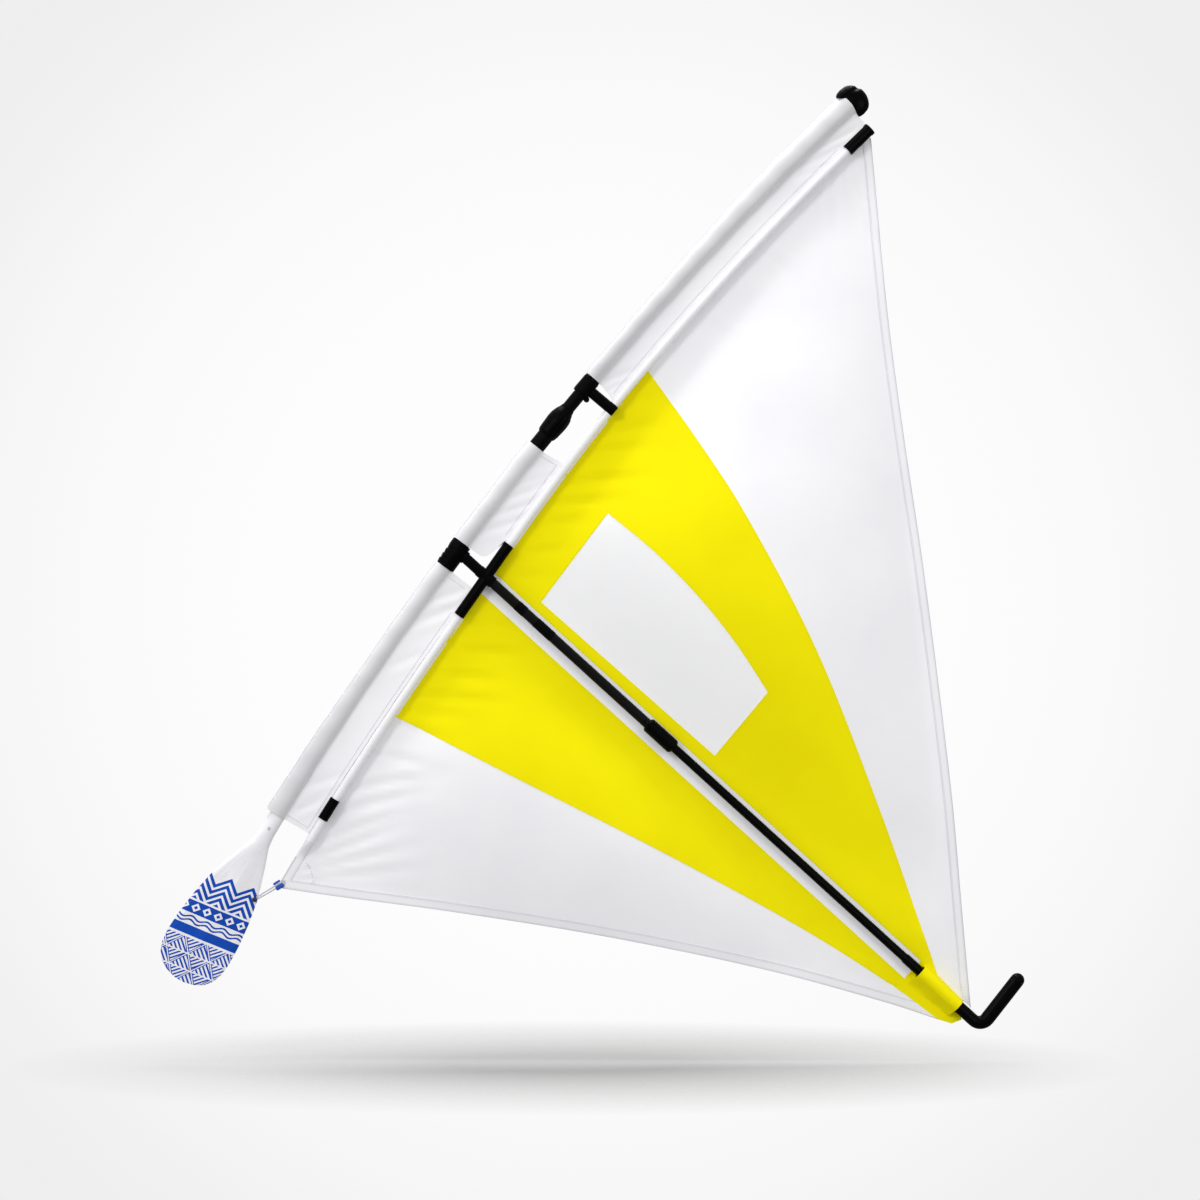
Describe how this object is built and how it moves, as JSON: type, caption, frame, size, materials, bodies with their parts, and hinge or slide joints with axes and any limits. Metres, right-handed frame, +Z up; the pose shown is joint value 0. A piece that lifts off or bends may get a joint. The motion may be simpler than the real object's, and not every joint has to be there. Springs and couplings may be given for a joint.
{
  "type": "canoe sail",
  "caption": "Triangular canoe sail on a paddle used as its bent mast, with cloth mast sleeves, a luff spar, a telescoping boom, a see-through window and an angled handle at the clew.",
  "frame": {"origin": "middle of the mast (the paddle shaft) at the boom collar", "axes": "+Z up, the sail lies in the XZ plane with its clew towards +X, and the face seen in the picture looks towards -Y"},
  "size_m": [2.16, 0.0845, 2.3593],
  "materials": {
    "white_cloth": "light woven sail cloth, satin",
    "white_hem": "doubled sail cloth",
    "yellow_cloth": "light woven sail cloth, satin",
    "window_film": "clear sheet",
    "black_plastic": "satin moulded",
    "black_tube": "satin laminated tube",
    "black_rubber": "matt",
    "grey_tube": "dark grey laminated tube",
    "blade_white": "smooth moulded",
    "steel": "plain",
    "blue_cord": "braided"
  },
  "bodies": {
    "rig": {"paddle_blade": "blade_white", "blade_ferrule": "black_plastic", "blade_knot": "blue_cord", "lower_shaft": "black_tube", "clamp_body": "black_plastic", "clamp_pin": "steel", "boom_collar": "black_plastic", "cross_fitting": "black_plastic", "upper_collar": "black_plastic", "luff_spar_lower": "grey_tube", "luff_spar_upper": "grey_tube", "head_socket": "black_plastic", "head_cap": "black_plastic", "tack_collar": "black_plastic", "boom_front_tube": "grey_tube", "boom_rivet": "black_plastic", "boom_band_inner": "black_rubber", "boom_band_outer": "black_rubber", "boom_lock_collet": "black_rubber", "clew_patch": "yellow_cloth", "sail_window": "window_film", "yellow_panel_upper": "yellow_cloth", "boom_strip": "white_cloth", "yellow_panel_lower": "yellow_cloth", "head_panel": "white_cloth", "leech_hem": "white_hem", "foot_panel": "white_cloth", "foot_hem": "white_hem", "luff_hem_foot": "white_hem", "luff_hem_tack": "white_hem", "luff_hem_lower": "white_hem", "luff_hem_middle": "white_hem", "luff_hem_upper": "white_hem", "mast_sleeve_lower": "white_cloth", "mast_sleeve_middle": "white_cloth", "mast_sleeve_upper": "white_cloth", "clew_pocket": "yellow_cloth", "tack_grommet": "steel", "downhaul_strand_1": "blue_cord", "downhaul_strand_2": "blue_cord"},
    "upper_mast": {"upper_shaft": "black_tube", "shaft_bush": "black_plastic", "mast_grip": "black_plastic"},
    "lever": {"clamp_lever": "black_plastic"},
    "boom_rear": {"boom_rear_tube": "black_tube", "boom_end_socket": "black_plastic"},
    "handle": {"handle_tube": "black_tube", "handle_cap": "black_plastic"},
    "twist_lock": {"boom_lock": "black_plastic"},
    "button": {"blade_snap_button": "steel"}
  },
  "joints": [
    {"name": "mast_extend", "type": "hinge", "parent": "rig", "child": "upper_mast", "pos_m": [6.88015, 0, -5.10965], "axis": [0, 1, 0], "range_deg": [0, 0.85]},
    {"name": "clamp_lever", "type": "hinge", "parent": "rig", "child": "lever", "pos_m": [0.26232, 0.02685, 0.32396], "axis": [0.6349, 0, 0.7726], "range_deg": [0, 100]},
    {"name": "boom_extend", "type": "slide", "parent": "rig", "child": "boom_rear", "axis": [0.7397, 0, -0.6729], "range_m": [-0.03, 0]},
    {"name": "handle_turn", "type": "hinge", "parent": "boom_rear", "child": "handle", "pos_m": [1.16664, 0, -1.04271], "axis": [0.7397, 0, -0.6729], "range_deg": [-90, 90]},
    {"name": "boom_lock_turn", "type": "hinge", "parent": "rig", "child": "twist_lock", "pos_m": [0.48573, 0, -0.42329], "axis": [0.7397, 0, -0.6729], "range_deg": [0, 120]},
    {"name": "button_press", "type": "slide", "parent": "rig", "child": "button", "axis": [0, 1, 0], "range_m": [0, 0.0012], "stiffness_N_per_m": 400, "springref_m": -0.001}
  ]
}
